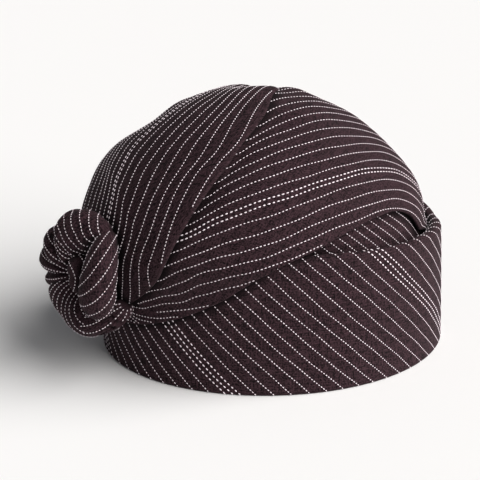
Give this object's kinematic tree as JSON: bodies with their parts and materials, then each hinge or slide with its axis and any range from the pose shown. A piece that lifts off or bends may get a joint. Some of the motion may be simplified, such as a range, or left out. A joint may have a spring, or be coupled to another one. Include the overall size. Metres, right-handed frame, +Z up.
{
  "type": "draped turban hat",
  "caption": "Soft draped turban hat of pin-striped cloth with a turned-up cuff, a front drape folded over a back drape and a wound knot at the front.",
  "frame": {"origin": "middle of the whole hat's footprint, on the surface that the cuff's hem stands on", "axes": "+Z up, -Y towards the hat's front where the knot is, +X towards the wearer's left"},
  "size_m": [0.1852, 0.2544, 0.1641],
  "materials": {
    "striped_cloth": "matte dark brown-black woven cloth with rows of pale running stitches"
  },
  "bodies": {
    "root": {"cuff_band": "striped_cloth", "base_cap": "striped_cloth", "drape_back": "striped_cloth", "drape_front": "striped_cloth", "rosette_knot": "striped_cloth"}
  },
  "joints": []
}
